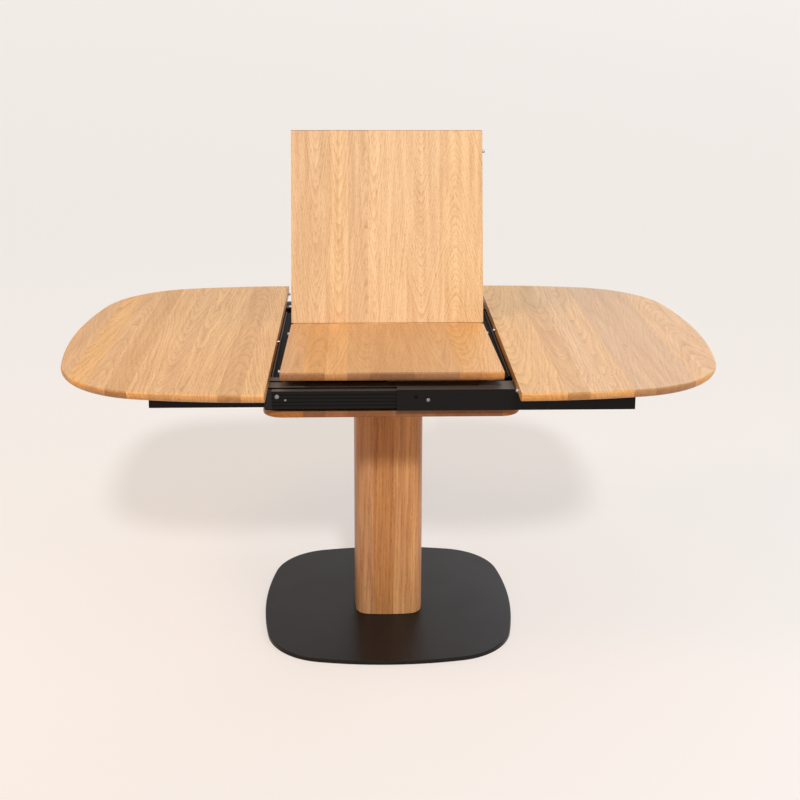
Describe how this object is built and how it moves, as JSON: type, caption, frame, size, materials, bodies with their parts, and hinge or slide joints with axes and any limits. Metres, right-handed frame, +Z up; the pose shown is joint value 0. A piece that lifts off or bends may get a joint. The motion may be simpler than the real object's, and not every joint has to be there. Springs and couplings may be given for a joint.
{
  "type": "extending pedestal dining table",
  "caption": "Soft-square oak pedestal table, top halves drawn apart on black rails, with a folding butterfly leaf standing half opened between them.",
  "frame": {"origin": "middle of the base plate's underside, on the floor", "axes": "+X along the table to the right half, +Y to the back, +Z up"},
  "size_m": [1.606, 1.03, 1.2564],
  "materials": {
    "oak": "oiled, satin",
    "black_steel": "matt powder coat",
    "black_aluminium": "black anodised",
    "bright_steel": "zinc plated",
    "brass": "drawn, oxidised",
    "black_plastic": "matt",
    "grey_plastic": "matt"
  },
  "bodies": {
    "pedestal": {"base_plate": "black_steel", "column": "oak", "base_bolts": "bright_steel", "carrier_board": "oak", "board_bolts": "bright_steel", "front_rail": "black_aluminium", "rear_rail": "black_aluminium", "rail_end_caps": "black_plastic", "rail_face_screws": "bright_steel", "rail_board_screws": "bright_steel", "leaf_rest_pads": "grey_plastic", "left_track": "black_aluminium", "right_track": "black_aluminium", "track_screws": "bright_steel"},
    "left_half": {"left_top": "oak", "left_outer_slide": "black_aluminium", "left_inner_slide": "black_aluminium", "left_slide_screws": "bright_steel", "left_dowels": "bright_steel"},
    "right_half": {"right_top": "oak", "right_outer_slide": "black_aluminium", "right_inner_slide": "black_aluminium", "right_slide_screws": "bright_steel", "right_dowels": "bright_steel"},
    "leaf_carriage": {"leaf_sliders": "black_plastic"},
    "lower_leaf_body": {"lower_leaf": "oak", "lower_leaf_dowels": "bright_steel", "leaf_brackets": "black_steel", "leaf_bracket_pins": "bright_steel", "leaf_bracket_screws": "bright_steel", "lower_hinge": "brass", "hinge_pin": "brass"},
    "upper_leaf_body": {"upper_leaf": "oak", "upper_leaf_dowel": "bright_steel", "upper_leaf_fold_dowel": "bright_steel", "upper_hinge": "brass"}
  },
  "joints": [
    {"name": "left_half_slide", "type": "slide", "parent": "pedestal", "child": "left_half", "axis": [1, 0, 0], "range_m": [0, 0.021]},
    {"name": "right_half_slide", "type": "slide", "parent": "pedestal", "child": "right_half", "axis": [-1, 0, 0], "range_m": [0, 0.021]},
    {"name": "leaf_glide", "type": "slide", "parent": "pedestal", "child": "leaf_carriage", "axis": [0, -1, 0], "range_m": [-0.17, 0.09067]},
    {"name": "leaf_tilt", "type": "hinge", "parent": "leaf_carriage", "child": "lower_leaf_body", "pos_m": [0, 0.02067, 0.722], "axis": [1, 0, 0], "range_deg": [-3.6, 2.7]},
    {"name": "leaf_fold", "type": "hinge", "parent": "lower_leaf_body", "child": "upper_leaf_body", "pos_m": [0, 0.0924, 0.75696], "axis": [-1, 0, 0], "range_deg": [-100.6, 79.1]}
  ],
  "couplings": [
    {"joint": "right_half_slide", "follows": "left_half_slide", "ratio": 1},
    {"joint": "leaf_tilt", "follows": "leaf_fold", "ratio": 0.034134}
  ]
}
